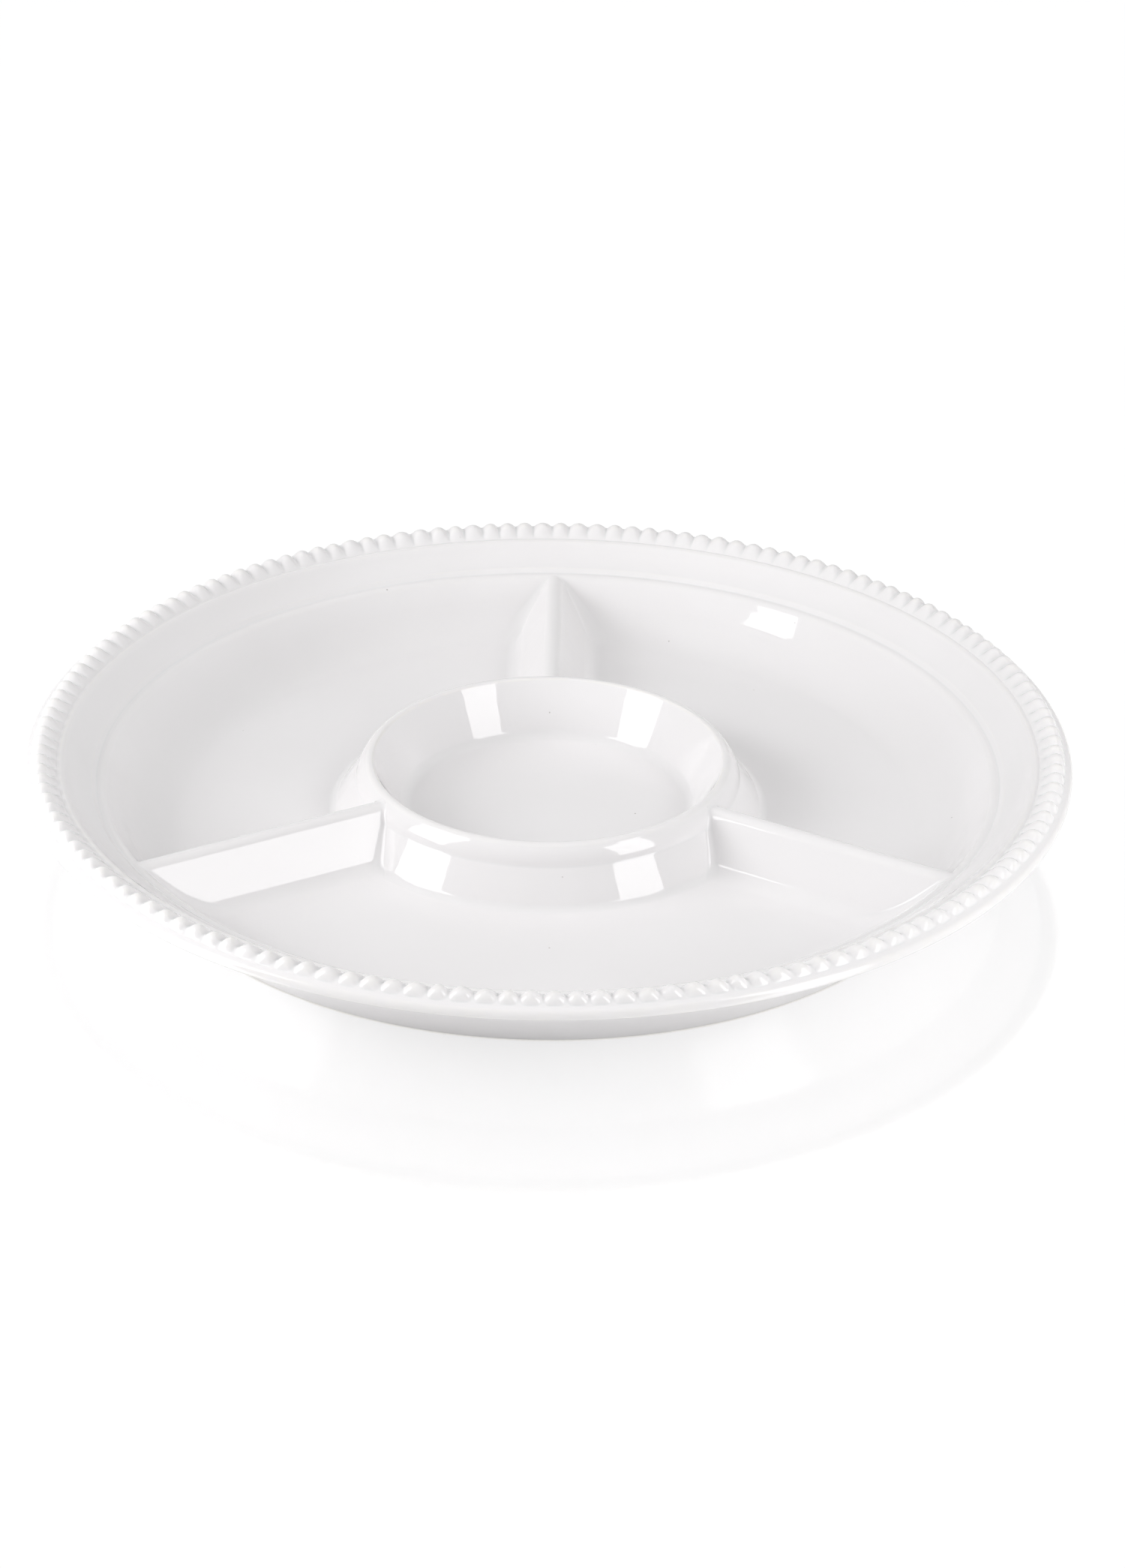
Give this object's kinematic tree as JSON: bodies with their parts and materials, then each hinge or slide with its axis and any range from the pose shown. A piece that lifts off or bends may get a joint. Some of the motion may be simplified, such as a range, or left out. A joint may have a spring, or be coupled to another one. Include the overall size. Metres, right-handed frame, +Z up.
{
  "type": "chip and dip server",
  "caption": "Round white glazed ceramic serving dish with chip wells around a central dip bowl, low dividers between the wells and a beaded rim.",
  "frame": {"origin": "middle of the dish on the surface that it stands on", "axes": "+Z up, -Y towards the middle of the front chip well, +X to the right seen from the front"},
  "size_m": [0.356, 0.356, 0.0384],
  "materials": {
    "white_glaze": "glossy white glaze with faint waves and fine dark specks",
    "bare_foot": "unglazed, wiped and ground flat"
  },
  "bodies": {
    "root": {"foot_ring": "bare_foot", "dip_bowl_floor": "white_glaze", "dip_bowl_wall": "white_glaze", "chip_well_floor_front": "white_glaze", "chip_well_floor_left": "white_glaze", "chip_well_floor_right": "white_glaze", "chip_well_wall_front": "white_glaze", "chip_well_wall_left": "white_glaze", "chip_well_wall_right": "white_glaze", "divider_rear": "white_glaze", "divider_left": "white_glaze", "divider_right": "white_glaze", "rim_flange": "white_glaze", "rim_edge": "white_glaze", "bead_border": "white_glaze"}
  },
  "joints": []
}
